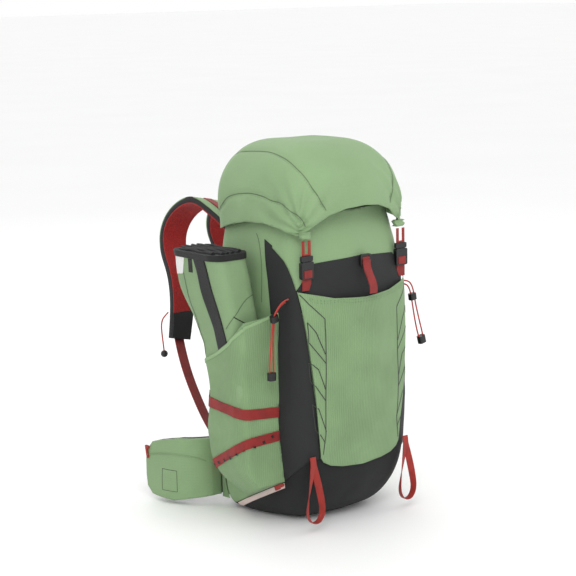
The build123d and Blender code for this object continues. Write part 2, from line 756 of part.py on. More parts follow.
TOOL_CORD_LEFT = [
    (-127.6, -99, 386), (-136, -101, 385), (-143, -99, 378), (-147, -96, 366), (-149, -94, 348),
    (-150, -93, 322), (-149.4, -92, 298), (-148.6, -91.6, 279), (-148.8, -91.5, 262),
    (-157.2, -91.4, 262.4), (-157.4, -91.8, 279), (-156.4, -92.6, 298), (-155, -94, 322),
    (-153.6, -96, 348), (-151.6, -98, 366), (-146, -103, 381), (-136, -106, 391), (-126, -105, 392),
]
TOOL_CORD_RIGHT = [
    (127.6, -99, 386), (136, -103, 386), (143, -105, 379), (147, -106, 366), (149, -107, 350),
    (152.4, -108, 328), (157, -108, 308), (161.4, -108, 294), (165.4, -108.3, 280),
    (173.4, -108.8, 282.6), (170.4, -109, 297), (165.6, -109, 312), (160, -109, 331),
    (154.4, -109, 351), (151.6, -109, 366), (146, -110, 382), (137, -110, 392), (126.6, -106, 393),
]


def tool_cord(route, name):
    save(cord_solid(route, CORD, CORD_CLOSE), f"tool_cord_{name}")


tool_cord(TOOL_CORD_LEFT, "left")
tool_cord(TOOL_CORD_RIGHT, "right")


def bead(centre, half_across, height, lean, bores):
    """A moulded cord fitting with one bore for each strand."""
    plane = Plane(origin=centre, z_dir=lean)
    with BuildPart() as fitting:
        with BuildSketch(plane.offset(-height / 2)):
            RectangleRounded(2 * half_across, 2 * half_across * 0.8, half_across * 0.6)
        extrude(amount=height)
        for bore in bores:
            add(bore, mode=Mode.SUBTRACT)
    return fitting.part


def cord_bore(points):
    """The clearance a cord needs through its fittings."""
    with BuildPart() as bore:
        with BuildLine() as route:
            FilletPolyline(*points, radius=cord_radii(points, CORD_CLOSE))
        with BuildSketch(Plane(origin=route.line @ 0, z_dir=route.line % 0)):
            Circle(CORD / 2 + 0.05)
        sweep()
    return bore.part


left_bore = cord_bore(TOOL_CORD_LEFT)
right_bore = cord_bore(TOOL_CORD_RIGHT)
with BuildPart() as tool_toggle_left:
    add(bead((-149.8, -96.6, 362), 7, 11, (0.3, 0.2, -1), [left_bore]))
    add(bead((-153, -91.5, 265), 7.2, 13, (0, 0, -1), [left_bore]))
save(tool_toggle_left.part, "tool_toggle_left")
with BuildPart() as tool_toggle_right:
    add(bead((149.6, -106.5, 362), 7, 11, (-0.15, 0.03, 1), [right_bore]))
    add(bead((168.9, -108.6, 284.5), 7.2, 13, (0.27, 0, -1), [right_bore]))
save(tool_toggle_right.part, "tool_toggle_right")

# Pole stow loop on the left shoulder strap
STOW_CORD = [
    (-106, 262, 318), (-108, 268, 312), (-109, 276, 304), (-108.4, 281, 292), (-107, 281.6, 276),
    (-106, 280, 258), (-105.4, 279, 246),
]
save(cord_solid(STOW_CORD, 2.6, 4), "stow_cord")
with BuildPart() as stow_ball:
    with Locations((-105.2, 278.6, 239.5)):
        Sphere(6.4)
save(stow_ball.part, "stow_ball")

# ---------------------------------------------------------------- folded camp seat

SEAT_LOW = 97.0
SEAT_TOP = 466.0
# Height, middle X and Y, then the size across and along
SEAT_ROWS = [
    (SEAT_LOW, -161.2, -20, 46, 88), (200, -164.4, -14.5, 53, 98), (290, -167.2, -8, 58, 104),
    (380, -177, 7, 67, 116), (SEAT_TOP, -187, 24, 76, 124),
]


def seat_volume(amount, low=None):
    levels = []
    for height, x, y, across, along in SEAT_ROWS:
        corners = [
            (x - across / 2, y - along / 2), (x + across / 2, y - along / 2),
            (x + across / 2, y + along / 2), (x - across / 2, y + along / 2),
        ]
        levels.append((height, corners, [0.3 * across] * 4))
    return lofted(levels, amount)


SEAT_STRAP_HALF = 14.0
seat_body = seat_volume(0.0)
seat_over = seat_volume(WEBBING)
binding_zone = Pos(-190, 20, SEAT_TOP - 5) * Box(160, 200, 10.02)
strap_zone = side_prism(
    [(-26 - SEAT_STRAP_HALF, 290), (-26 + SEAT_STRAP_HALF, 290), (4 + SEAT_STRAP_HALF, SEAT_TOP - 10.2),
     (4 - SEAT_STRAP_HALF, SEAT_TOP - 10.2)],
    -260, -185,
)
with BuildPart() as seat_roll:
    add(seat_body)
save(seat_roll.part, "seat_roll")

with BuildPart() as seat_trim:
    add(seat_over)
    add(strap_zone + binding_zone, mode=Mode.INTERSECT)
    add(seat_body, mode=Mode.SUBTRACT)
save(seat_trim.part, "seat_trim")
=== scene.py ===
"""The looks of a hiking backpack: cloth, mesh, webbing, foam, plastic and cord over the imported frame."""

import json
import math

import bmesh
import bpy
from mathutils import Matrix, Vector, noise
from mathutils.bvhtree import BVHTree

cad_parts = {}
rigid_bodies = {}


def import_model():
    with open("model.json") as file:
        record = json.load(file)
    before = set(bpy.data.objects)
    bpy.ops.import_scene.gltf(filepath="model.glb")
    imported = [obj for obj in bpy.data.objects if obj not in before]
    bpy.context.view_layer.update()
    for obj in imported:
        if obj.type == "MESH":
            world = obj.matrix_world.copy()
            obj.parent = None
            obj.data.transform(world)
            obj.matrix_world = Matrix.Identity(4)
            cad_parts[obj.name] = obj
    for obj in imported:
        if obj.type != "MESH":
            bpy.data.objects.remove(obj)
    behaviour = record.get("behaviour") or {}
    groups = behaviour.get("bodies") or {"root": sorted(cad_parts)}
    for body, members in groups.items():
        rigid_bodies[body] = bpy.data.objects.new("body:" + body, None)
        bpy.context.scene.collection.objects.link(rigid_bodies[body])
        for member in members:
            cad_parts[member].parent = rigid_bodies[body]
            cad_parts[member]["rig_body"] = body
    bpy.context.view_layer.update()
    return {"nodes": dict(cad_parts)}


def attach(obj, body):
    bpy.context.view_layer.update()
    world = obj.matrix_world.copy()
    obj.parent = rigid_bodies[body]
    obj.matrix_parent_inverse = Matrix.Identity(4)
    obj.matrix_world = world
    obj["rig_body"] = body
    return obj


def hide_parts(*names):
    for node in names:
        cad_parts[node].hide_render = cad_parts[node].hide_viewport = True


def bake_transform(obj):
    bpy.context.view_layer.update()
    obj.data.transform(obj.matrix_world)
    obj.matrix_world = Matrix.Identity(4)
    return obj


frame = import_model()
NODES = frame["nodes"]

# Colours as seen in daylight, 0 to 255
GREEN = (130, 159, 115)
GREEN_MESH = (126, 156, 111)
DARK = (25, 26, 27)
BOOT = (9, 11, 12)
RED = (140, 26, 22)
RED_BRIGHT = (160, 40, 30)
RED_MESH = (138, 22, 20)
BLACK = (8, 8, 10)
PALE_ZIP = (226, 204, 198)
WHITE = (232, 232, 230)
ALUMINIUM = (190, 192, 196)


def linear(colour):
    """An sRGB colour as the linear RGBA that shaders use."""
    values = []
    for channel in colour:
        c = channel / 255
        values.append(c / 12.92 if c <= 0.04045 else ((c + 0.055) / 1.055) ** 2.4)
    return (*values, 1.0)


# ---------------------------------------------------------------- materials


class Shader:
    """A small helper that builds one procedural material."""

    def __init__(self, name, roughness, sheen=0.0, metallic=0.0, coat=0.0, specular=0.5):
        self.material = bpy.data.materials.new(name)
        self.material.use_nodes = True
        self.tree = self.material.node_tree
        self.surface = self.tree.nodes["Principled BSDF"]
        self.surface.inputs["Roughness"].default_value = roughness
        self.surface.inputs["Metallic"].default_value = metallic
        self.surface.inputs["Sheen Weight"].default_value = sheen
        self.surface.inputs["Sheen Roughness"].default_value = 0.5
        self.surface.inputs["Coat Weight"].default_value = coat
        self.surface.inputs["Specular IOR Level"].default_value = specular
        self.place = self.node("ShaderNodeTexCoord").outputs["Object"]
        self.normal = self.node("ShaderNodeTexCoord").outputs["Normal"]

    def node(self, kind, **settings):
        made = self.tree.nodes.new(kind)
        for key, value in settings.items():
            setattr(made, key, value)
        return made

    def link(self, source, target):
        self.tree.links.new(source, target)

    def vector(self, operation, first, second=None):
        made = self.node("ShaderNodeVectorMath", operation=operation)
        for socket, value in zip(made.inputs, (first, second)):
            if value is None:
                continue
            if isinstance(value, (tuple, list)):
                socket.default_value = value
            else:
                self.link(value, socket)
        return made.outputs["Value"] if operation == "DOT_PRODUCT" else made.outputs["Vector"]

    def math(self, operation, first, second=0.0, clamp=False):
        made = self.node("ShaderNodeMath", operation=operation, use_clamp=clamp)
        for socket, value in zip(made.inputs, (first, second)):
            if isinstance(value, (int, float)):
                socket.default_value = value
            else:
                self.link(value, socket)
        return made.outputs[0]

    def noise(self, scale, detail=2.0, stretch=(1, 1, 1)):
        moved = self.vector("MULTIPLY", self.place, tuple(stretch))
        made = self.node("ShaderNodeTexNoise")
        made.inputs["Scale"].default_value = scale
        made.inputs["Detail"].default_value = detail
        self.link(moved, made.inputs["Vector"])
        return made.outputs["Fac"]

    def threads(self, pitch, axes=(1, 1, 1)):
        """Fine sine threads along each axis, faded out where the surface faces along that axis."""
        turn = 2 * math.pi / pitch
        waves = self.vector("SINE", self.vector("MULTIPLY", self.place, (turn, turn, turn)))
        facing = self.vector("SUBTRACT", tuple(axes), self.vector("ABSOLUTE", self.normal))
        facing = self.vector("MAXIMUM", facing, (0, 0, 0))
        return self.vector("DOT_PRODUCT", waves, facing)

    def grid(self, pitch, sharpness):
        """Thin raised lines at one pitch along each axis, as in a ripstop cloth."""
        turn = math.pi / pitch
        waves = self.vector("ABSOLUTE", self.vector("SINE", self.vector("MULTIPLY", self.place, (turn,) * 3)))
        near = self.vector("MINIMUM", self.vector("MULTIPLY", waves, (sharpness,) * 3), (1, 1, 1))
        lines = self.vector("SUBTRACT", (1, 1, 1), near)
        facing = self.vector("SUBTRACT", (1, 1, 1), self.vector("ABSOLUTE", self.normal))
        return self.vector("DOT_PRODUCT", lines, facing)

    def cells(self, scale):
        made = self.node("ShaderNodeTexVoronoi", feature="F1")
        made.inputs["Scale"].default_value = scale
        self.link(self.place, made.inputs["Vector"])
        return made.outputs["Distance"]

    def colour(self, low, high, factor):
        """A base colour between two, by a 0 to 1 factor."""
        made = self.node("ShaderNodeMix", data_type="RGBA")
        made.inputs["A"].default_value = linear(low)
        made.inputs["B"].default_value = linear(high)
        self.link(factor, made.inputs["Factor"])
        self.link(made.outputs["Result"], self.surface.inputs["Base Color"])

    def bump(self, height, depth, strength=1.0):
        made = self.node("ShaderNodeBump")
        made.inputs["Strength"].default_value = strength
        made.inputs["Distance"].default_value = depth
        self.link(height, made.inputs["Height"])
        self.link(made.outputs["Normal"], self.surface.inputs["Normal"])

    def rough(self, factor, low, high):
        made = self.node("ShaderNodeMapRange")
        made.inputs["To Min"].default_value = low
        made.inputs["To Max"].default_value = high
        self.link(factor, made.inputs["Value"])
        self.link(made.outputs["Result"], self.surface.inputs["Roughness"])


def shade(colour, amount):
    return tuple(min(255, max(0, c * amount)) for c in colour)


def cloth(name, colour, pitch=0.0009, ripstop=0.0, depth=0.00025, sheen=0.06, roughness=0.66):
    """Woven nylon: fine threads, an optional ripstop grid and soft colour variation."""
    s = Shader(name, roughness, sheen=sheen)
    threads = s.threads(pitch)
    broad = s.noise(9, 3)
    fine = s.noise(520, 2)
    blend = s.math("ADD", s.math("MULTIPLY", broad, 0.7), s.math("MULTIPLY", fine, 0.3))
    height = threads
    if ripstop:
        lines = s.grid(ripstop, 7.0)
        height = s.math("ADD", s.math("MULTIPLY", threads, 0.5), s.math("MULTIPLY", lines, 1.4))
        blend = s.math("SUBTRACT", blend, s.math("MULTIPLY", lines, 0.16))
    s.colour(shade(colour, 0.88), shade(colour, 1.1), blend)
    s.bump(height, depth, 0.5)
    s.rough(broad, roughness - 0.06, roughness + 0.08)
    return s.material


def ribbed_mesh(name, colour):
    """Stretch mesh: upright ribs with a fine knit between them."""
    s = Shader(name, 0.82, sheen=0.08)
    ribs = s.threads(0.0034, axes=(1, 1, 0))
    knit = s.threads(0.0011)
    height = s.math("ADD", s.math("MULTIPLY", ribs, 0.8), s.math("MULTIPLY", knit, 0.35))
    tone = s.math("ADD", s.math("MULTIPLY", ribs, 0.2), s.noise(14, 3))
    s.colour(shade(colour, 0.86), shade(colour, 1.08), tone)
    s.bump(height, 0.0005, 0.7)
    return s.material


def webbing(name, colour, pitch=0.0016):
    """Flat woven strap: coarse ribs and lighter worn highs."""
    s = Shader(name, 0.62, sheen=0.04)
    threads = s.threads(pitch)
    wear = s.noise(60, 4)
    s.colour(shade(colour, 0.74), shade(colour, 1.2), s.math("ADD", s.math("MULTIPLY", threads, 0.18), wear))
    s.bump(threads, 0.0004, 0.7)
    return s.material


def spacer_mesh(name, colour, scale=330):
    """Breathable mesh: a field of small holes over foam, the holes painted darker as their shade."""
    s = Shader(name, 0.88, sheen=0.05)
    cells = s.cells(scale)
    tone = s.math("ADD", s.math("MULTIPLY", cells, 1.1), s.math("MULTIPLY", s.noise(12, 2), 0.4), clamp=True)
    s.colour(shade(colour, 0.55), shade(colour, 1.2), tone)
    s.bump(s.math("MULTIPLY", cells, -1.0), 0.0009, 0.8)
    return s.material


def plastic(name, colour, roughness=0.42):
    """Moulded nylon or acetal: a fine spark-eroded grain with scuffed highs."""
    s = Shader(name, roughness, coat=0.08)
    grain = s.noise(1400, 2)
    scuff = s.noise(45, 5)
    s.colour(shade(colour, 0.8), shade(colour, 1.35), scuff)
    s.bump(grain, 0.00012, 0.35)
    s.rough(scuff, roughness - 0.08, roughness + 0.15)
    return s.material


def metal(name, colour, roughness):
    s = Shader(name, roughness, metallic=1.0)
    brushed = s.noise(220, 3, stretch=(1, 1, 0.05))
    s.colour(shade(colour, 0.88), shade(colour, 1.05), brushed)
    s.bump(brushed, 0.0001, 0.3)
    s.rough(brushed, roughness - 0.05, roughness + 0.12)
    return s.material


def braid(name, colour):
    """Kernmantle cord: small diagonal diamonds."""
    s = Shader(name, 0.6, sheen=0.1)
    diagonal = s.vector("DOT_PRODUCT", s.place, (1, 1, 1))
    counter = s.vector("DOT_PRODUCT", s.place, (1, 1, -1))
    turn = 2 * math.pi / 0.0014
    one = s.math("SINE", s.math("MULTIPLY", diagonal, turn))
    two = s.math("SINE", s.math("MULTIPLY", counter, turn))
    weave = s.math("MULTIPLY", one, two)
    s.colour(shade(colour, 0.7), shade(colour, 1.2), s.math("ADD", s.math("MULTIPLY", weave, 0.35), 0.5))
    s.bump(weave, 0.0003, 0.6)
    return s.material


MAT_GREEN = cloth("ripstop green", GREEN, ripstop=0.0052)
# The lid's green is a 1% lighter copy of the same cloth: painted light for the brighter lit lid.
MAT_GREEN_LID_PAINTED_LIGHT = cloth("lid green painted light", shade(GREEN, 1.01), ripstop=0.0052)
MAT_MESH = ribbed_mesh("stretch mesh green", GREEN_MESH)
MAT_DARK = cloth("panel charcoal", DARK, pitch=0.0012, sheen=0.02, roughness=0.74)
MAT_BOOT = cloth("boot charcoal", BOOT, pitch=0.0015, depth=0.0004, sheen=0.02, roughness=0.8)
MAT_LINING = cloth("lining grey", (120, 126, 121), roughness=0.6)
MAT_RED = webbing("webbing red", RED)
MAT_RED_BRIGHT = webbing("webbing bright", RED_BRIGHT)
MAT_BLACK = webbing("webbing black", BLACK, pitch=0.0013)
MAT_BINDING = cloth("binding black", (11, 11, 13), pitch=0.0011, depth=0.0003, sheen=0.02, roughness=0.72)
MAT_PLASTIC = plastic("moulded black", (10, 10, 12))
MAT_FOAM = spacer_mesh("spacer mesh charcoal", (28, 29, 31))
MAT_RED_LINER = spacer_mesh("spacer mesh red", RED_MESH, scale=420)
MAT_CORD = braid("cord red", (182, 50, 40))
MAT_CORD_DARK = braid("cord dark", (40, 38, 40))
MAT_ZIP_TAPE = cloth("zip tape pale", PALE_ZIP, pitch=0.0008, roughness=0.7)
MAT_ZIP_COIL = plastic("zip coil pale", (214, 196, 190), roughness=0.35)
MAT_STITCH = cloth("thread green", shade(GREEN, 0.66), pitch=0.0006, roughness=0.6)
# Seam strips: a darker green that paints the shade in the sewn grooves.
MAT_SEAM_SHADE = cloth("seam groove shade", shade(GREEN, 0.62), pitch=0.0008, roughness=0.7)
MAT_HEM = cloth("hem green", shade(GREEN, 1.07), pitch=0.0008, roughness=0.7)
MAT_PRINT = cloth("printed ink", (40, 44, 40), pitch=0.0011, depth=0.0002, roughness=0.5)
MAT_LABEL = cloth("label white", WHITE, pitch=0.0007, roughness=0.6)
MAT_SHEET = plastic("frame sheet", (214, 216, 218), roughness=0.5)
MAT_STAY = metal("stay aluminium", ALUMINIUM, 0.34)
MAT_SEAT = cloth("seat nylon", shade(GREEN, 0.96), ripstop=0.0046)


def paint(piece, *materials):
    piece.data.materials.clear()
    for material in materials:
        piece.data.materials.append(material)


# ---------------------------------------------------------------- mesh tools


def smoothstep(low, high, value):
    t = min(max((value - low) / (high - low), 0.0), 1.0)
    return t * t * (3 - 2 * t)


def finish_mesh(piece, sharp_degrees=38):
    for face in piece.data.polygons:
        face.use_smooth = True
    piece.data.set_sharp_from_angle(angle=math.radians(sharp_degrees))


def new_piece(name, mesh, material, body, replaces=()):
    piece = bpy.data.objects.new(name, mesh)
    bpy.context.scene.collection.objects.link(piece)
    paint(piece, material)
    if body:
        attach(piece, body)
    if replaces:
        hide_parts(*replaces)
    return piece


def refined(bm, longest):
    """Split long edges until none is longer than asked."""
    for _ in range(9):
        long_edges = [e for e in bm.edges if e.calc_length() > longest]
        if not long_edges:
            break
        bmesh.ops.subdivide_edges(bm, edges=long_edges, cuts=1)
        bmesh.ops.triangulate(bm, faces=[f for f in bm.faces if len(f.verts) > 3])


def relax(bm, rounds, crease=32):
    """Round off facets, keeping edges sharper than the crease."""
    held = set()
    for edge in bm.edges:
        if len(edge.link_faces) != 2 or edge.calc_face_angle(0.0) > math.radians(crease):
            held.update(edge.verts)
    free = [v for v in bm.verts if v not in held]
    for _ in range(rounds):
        bmesh.ops.smooth_vert(bm, verts=free, factor=0.5, use_axis_x=True, use_axis_y=True, use_axis_z=True)


def bag_axis(point):
    """Outward direction from the middle of the pack."""
    away = Vector((point.x, point.y + 0.02, 0))
    return away.normalized() if away.length > 1e-4 else Vector((0, -1, 0))


def cloth_dents(point):
    """How far the loaded cloth moves at a point of the bag: mostly inwards, nothing at the flat back."""
    if point.y > 0.075:
        return Vector((0, 0, 0))
    fade = 1 - smoothstep(0.035, 0.075, point.y)
    low = smoothstep(0.0, 0.05, point.z)
    broad = noise.noise(Vector((point.x * 9, point.y * 9, point.z * 7 + 3.1)))
    slack = noise.noise(Vector((point.x * 26, point.y * 26, point.z * 17 + 8.7)))
    fold = math.sin(point.z * 95 + 2.2 * noise.noise(point * 14) * 3 + abs(point.x) * 30)
    lift = 0.0013 * broad + 0.0007 * slack + 0.00045 * fold * (0.5 + broad) - 0.0009
    return bag_axis(point) * lift * fade * low


def lid_dents(point):
    """Slack folds of the lid: gathered at the front corners and along the side skirts."""
    rear = 1 - smoothstep(0.05, 0.09, point.y)
    corner = Vector((math.copysign(0.112, point.x), -0.118, 0.5))
    near = math.exp(-((point - corner).length / 0.085) ** 2)
    spread = math.atan2(point.z - corner.z, abs(point.x - corner.x) + abs(point.y - corner.y) + 0.01)
    folds = math.sin(spread * 17 + 2 * noise.noise(point * 17)) * near
    broad = noise.noise(Vector((point.x * 11, point.y * 11, point.z * 15)))
    skirt = math.sin(point.y * 85 + point.z * 60 + 4 * noise.noise(point * 12))
    low = 1 - smoothstep(0.52, 0.585, point.z)
    lift = 0.0022 * folds + 0.0016 * broad + 0.0009 * skirt * low - 0.0008
    away = Vector((point.x, point.y + 0.02, max(point.z - 0.56, 0) * 1.6))
    return away.normalized() * lift * (0.25 + 0.75 * rear)


def soft_copy(node, material, longest=0.006, rounds=4, move=None, grooves=(), name=None, keep=None,
              blend=None):
    """A finer, creased copy of a CAD node that stands for it. keep picks a part of it by place, and
    blend is (body, other body, start, end) for cloth that crosses a joint: given, it leaves the piece fixed
    where it stands on no body, and its bodies and ends are not used."""
    source = NODES[node]
    bm = bmesh.new()
    bm.from_mesh(source.data)
    if keep:
        bmesh.ops.delete(bm, geom=[v for v in bm.verts if not keep(v.co)], context="VERTS")
    bmesh.ops.remove_doubles(bm, verts=bm.verts, dist=1e-6)
    bmesh.ops.triangulate(bm, faces=bm.faces)
    refined(bm, longest)
    relax(bm, rounds)
    for vert in bm.verts:
        shift = move(vert.co) if move else Vector((0, 0, 0))
        for groove in grooves:
            shift = shift + groove(vert.co)
        vert.co = vert.co + shift
    mesh = bpy.data.meshes.new(name or f"{node}_cloth")
    bm.to_mesh(mesh)
    bm.free()
    piece = new_piece(mesh.name, mesh, material, None if blend else source["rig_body"], (node,))
    finish_mesh(piece)
    if blend:
        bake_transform(piece)
    return piece


def tree_of(*pieces):
    """One search tree over the present shapes of some pieces."""
    verts, faces = [], []
    for piece in pieces:
        start = len(verts)
        verts += [v.co.copy() for v in piece.data.vertices]
        faces += [[start + i for i in f.vertices] for f in piece.data.polygons]
    return BVHTree.FromPolygons(verts, faces)


def curve_points(points, spacing):
    """A smooth line through the points (Catmull-Rom), stepped at about one spacing."""
    pts = [Vector(p) for p in points]
    ends = [pts[0] * 2 - pts[1]] + pts + [pts[-1] * 2 - pts[-2]]
    line = []
    for a, b, c, d in zip(ends, ends[1:], ends[2:], ends[3:]):
        steps = max(int((c - b).length / spacing), 1)
        for i in range(steps):
            t = i / steps
            line.append(0.5 * ((2 * b) + (c - a) * t + (2 * a - 5 * b + 4 * c - d) * t * t
                               + (3 * b - a - 3 * c + d) * t ** 3))
    line.append(pts[-1])
    return line


def straight_points(points, spacing):
    line = []
    for a, b in zip([Vector(p) for p in points], [Vector(p) for p in points[1:]]):
        steps = max(int((b - a).length / spacing), 1)
        line += [a + (b - a) * i / steps for i in range(steps)]
    line.append(Vector(points[-1]))
    return line


def draped(line, tree, lift, start=0.006, smooth=0):
    """Each point moved onto the nearest cloth from just outside it, with the outward normal there."""
    placed = []
    for point in line:
        hit, normal, _, _ = tree.find_nearest(point + bag_axis(point) * start)
        if normal.dot(bag_axis(hit)) < 0 and normal.z < 0.5:
            normal = -normal
        placed.append((hit + normal * lift, normal))
    for _ in range(smooth):
        inner = [((a[0] + b[0] * 2 + c[0]) / 4, (a[1] + b[1] * 2 + c[1]).normalized())
                 for a, b, c in zip(placed, placed[1:], placed[2:])]
        placed = [placed[0], *inner, placed[-1]]
    return placed


def ribbon(name, placed, width, thickness, material, body, dash=0, rounded=True):
    """A flat strip along placed points; dash > 0 cuts it into stitches of that many steps."""
    bm = bmesh.new()
    profile = [(-0.5, 0.0), (-0.42, 1.0), (0.0, 1.25 if rounded else 1.0), (0.42, 1.0), (0.5, 0.0)]
    previous = None
    for i, (point, normal) in enumerate(placed):
        if dash and (i // dash) % 2:
            previous = None
            continue
        ahead = placed[min(i + 1, len(placed) - 1)][0] - placed[max(i - 1, 0)][0]
        side = ahead.cross(normal)
        if side.length < 1e-9:
            continue
        side.normalize()
        row = [bm.verts.new(point + side * width * a + normal * thickness * b) for a, b in profile]
        if previous:
            for j in range(len(row) - 1):
                bm.faces.new((previous[j], previous[j + 1], row[j + 1], row[j]))
        previous = row
    mesh = bpy.data.meshes.new(name)
    bm.to_mesh(mesh)
    bm.free()
    piece = new_piece(name, mesh, material, body)
    finish_mesh(piece, 50)
    return piece


def strap(name, path, across, width, thickness, material, body, replaces=(), blend=None):
    """Webbing along a path. across holds the direction of its width, one for all or one per step."""
    if isinstance(across, Vector):
        across = [across] * len(path)
    profile = ((-0.5, 0.0), (-0.47, 0.5), (0.47, 0.5), (0.5, 0.0), (0.47, -0.5), (-0.47, -0.5))
    bm = bmesh.new()
    rows = []
    for i, (point, side) in enumerate(zip(path, across)):
        ahead = (path[min(i + 1, len(path) - 1)] - path[max(i - 1, 0)]).normalized()
        side = (side - ahead * side.dot(ahead)).normalized()
        normal = side.cross(ahead)
        rows.append([bm.verts.new(point + side * width * a + normal * thickness * b) for a, b in profile])
    for low, high in zip(rows, rows[1:]):
        for j in range(len(profile)):
            k = (j + 1) % len(profile)
            bm.faces.new((low[j], low[k], high[k], high[j]))
    bm.faces.new(rows[0][::-1])
    bm.faces.new(rows[-1])
    bmesh.ops.recalc_face_normals(bm, faces=bm.faces)
    mesh = bpy.data.meshes.new(name)
    bm.to_mesh(mesh)
    bm.free()
    piece = new_piece(name, mesh, material, None if blend else body, replaces)
    finish_mesh(piece, 50)
    if blend:
        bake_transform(piece)
    return piece


def patch(name, corners, tree, lift, material, body, steps=12):
    """A small piece of cloth laid on a surface between four corners."""
    a, b, c, d = [Vector(p) for p in corners]
    bm = bmesh.new()
    rows = []
    for i in range(steps + 1):
        u = i / steps
        row = []
        for j in range(steps + 1):
            v = j / steps
            point = (a * (1 - u) + b * u) * (1 - v) + (d * (1 - u) + c * u) * v
            hit, normal, _, _ = tree.find_nearest(point)
            row.append(bm.verts.new(hit + normal * lift))
        rows.append(row)
    for low, high in zip(rows, rows[1:]):
        for j in range(steps):
            bm.faces.new((low[j], low[j + 1], high[j + 1], high[j]))
    mesh = bpy.data.meshes.new(name)
    bm.to_mesh(mesh)
    bm.free()
    piece = new_piece(name, mesh, material, body)
    solid = piece.modifiers.new("thickness", "SOLIDIFY")
    solid.thickness = 0.0005
    solid.offset = 1.0
    finish_mesh(piece, 60)
    return piece


def tube(name, points, radius, material, body, closed=False):
    """A round cord-like edge: piping, or the rolled edge of a binding."""
    curve = bpy.data.curves.new(name, "CURVE")
    curve.dimensions = "3D"
    curve.bevel_depth = radius
    curve.bevel_resolution = 3
    curve.use_fill_caps = True
    spline = curve.splines.new("POLY")
    spline.points.add(len(points) - 1)
    for target, point in zip(spline.points, points):
        target.co = (*point, 1)
    spline.use_cyclic_u = closed
    piece = bpy.data.objects.new(name, curve)
    bpy.context.scene.collection.objects.link(piece)
    paint(piece, material)
    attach(piece, body)
    return piece


MM = 0.001


def mm(*points):
    return [Vector(p) * MM for p in points]


def mirrored(points):
    return [Vector((-p.x, p.y, p.z)) for p in points]


def faces_to(piece, material, test):
    """Give a second material to the faces whose middle passes the test."""
    piece.data.materials.append(material)
    index = len(piece.data.materials) - 1
    for face in piece.data.polygons:
        if test(face.center):
            face.material_index = index


# ---------------------------------------------------------------- the bag


def pocket_slack(point):
    """Loose stretch cloth below the pocket hems, swelling outwards only."""
    if point.y > 0.085:
        return Vector((0, 0, 0))
    fade = 1 - smoothstep(0.05, 0.085, point.y)
    rib = math.sin((point.x - point.y) * 70 + 3 * noise.noise(point * 9))
    broad = noise.noise(Vector((point.x * 12, point.y * 12, point.z * 7 + 1.7)))
    lift = max(0.0, 0.0011 + 0.0009 * rib + 0.0015 * broad)
    return bag_axis(point) * lift * fade


def side_slack(point):
    """A side pocket's cloth: long soft folds that run down and forward from its mouth."""
    run = point.z * 0.8 + point.y * 0.6
    folds = math.sin(run * 75 + 3.5 * noise.noise(point * 11))
    deep = smoothstep(0.02, 0.1, point.z)
    fade = 1 - smoothstep(0.05, 0.09, point.y)
    return cloth_dents(point) + bag_axis(point) * 0.0011 * folds * deep * fade


def crease(points, depth, width):
    """A groove pressed along a line, where two panels are sewn together."""
    line = [Vector(p) for p in points]
    lowest = [min(p[i] for p in line) - 3 * width for i in range(3)]
    highest = [max(p[i] for p in line) + 3 * width for i in range(3)]

    def press(point):
        if any(point[i] < lowest[i] or point[i] > highest[i] for i in range(3)):
            return Vector((0, 0, 0))
        near = min((point - p).length for p in line)
        away = Vector((point.x, point.y + 0.02, max(point.z - 0.52, 0) * 1.5))
        return away.normalized() * -depth * math.exp(-(near / width) ** 2)

    return press


BAG_CLOTH = (
    ("main_bag", MAT_GREEN, "green_fabric", cloth_dents),
    ("front_yoke", MAT_DARK, "dark_fabric", cloth_dents),
    ("side_panel_left", MAT_DARK, "dark_fabric", cloth_dents),
    ("side_panel_right", MAT_DARK, "dark_fabric", cloth_dents),
    ("base_boot", MAT_BOOT, "dark_fabric", cloth_dents),
    ("front_pocket", MAT_MESH, "stretch_mesh", lambda p: cloth_dents(p) + pocket_slack(p)),
    ("side_pocket_left", MAT_MESH, "stretch_mesh", side_slack),
    ("side_pocket_right", MAT_MESH, "stretch_mesh", side_slack),
    ("collar", MAT_LINING, "lining", cloth_dents),
)
PIECES = {}
for node, material, slot_name, move in BAG_CLOTH:
    PIECES[node] = soft_copy(node, material, move=move)
print("bag cloth done")


# ---------------------------------------------------------------- the lid

# Sewn lines of the lid, on the left half, in mm
GUSSET_SEAM = mm((-93, 66, 618), (-93, 24, 626), (-91.5, -22, 627), (-95, -63, 620), (-97, -93, 608),
                 (-89, -126, 576), (-80, -134, 556), (-70, -139, 536))
SIDE_SEAM = mm((-127, 84, 520), (-127.7, 64, 534), (-128.3, 47, 548), (-129.5, -1, 558), (-126, -45, 555),
               (-122, -93, 542), (-110, -121, 525), (-103, -126, 510))


def underside_inset(point):
    """The underside is drawn in a little, so that it stays inside the creased lid."""
    return Vector((-point.x, -point.y, 0)) * 0.035


def beside(line, offset):
    """The line that runs beside a seam, one offset to its side."""
    shifted = []
    for k, (point, normal) in enumerate(line[1:-1], 1):
        ahead = line[min(k + 1, len(line) - 1)][0] - line[max(k - 1, 0)][0]
        shifted.append((point + ahead.cross(normal).normalized() * offset, normal))
    return shifted


LID_SEAMS = [GUSSET_SEAM, SIDE_SEAM, mirrored(GUSSET_SEAM), mirrored(SIDE_SEAM)]
seam_steps = [curve_points(line, 0.006) for line in LID_SEAMS]
# The lid wears the lighter copy of the green, painted light.
lid = soft_copy("lid_shell", MAT_GREEN_LID_PAINTED_LIGHT, longest=0.005, move=lid_dents,
                grooves=[crease(line, 0.0022, 0.0055) for line in seam_steps])
soft_copy("lid_underside", MAT_DARK, longest=0.012, move=underside_inset)
lid_tree = tree_of(lid)
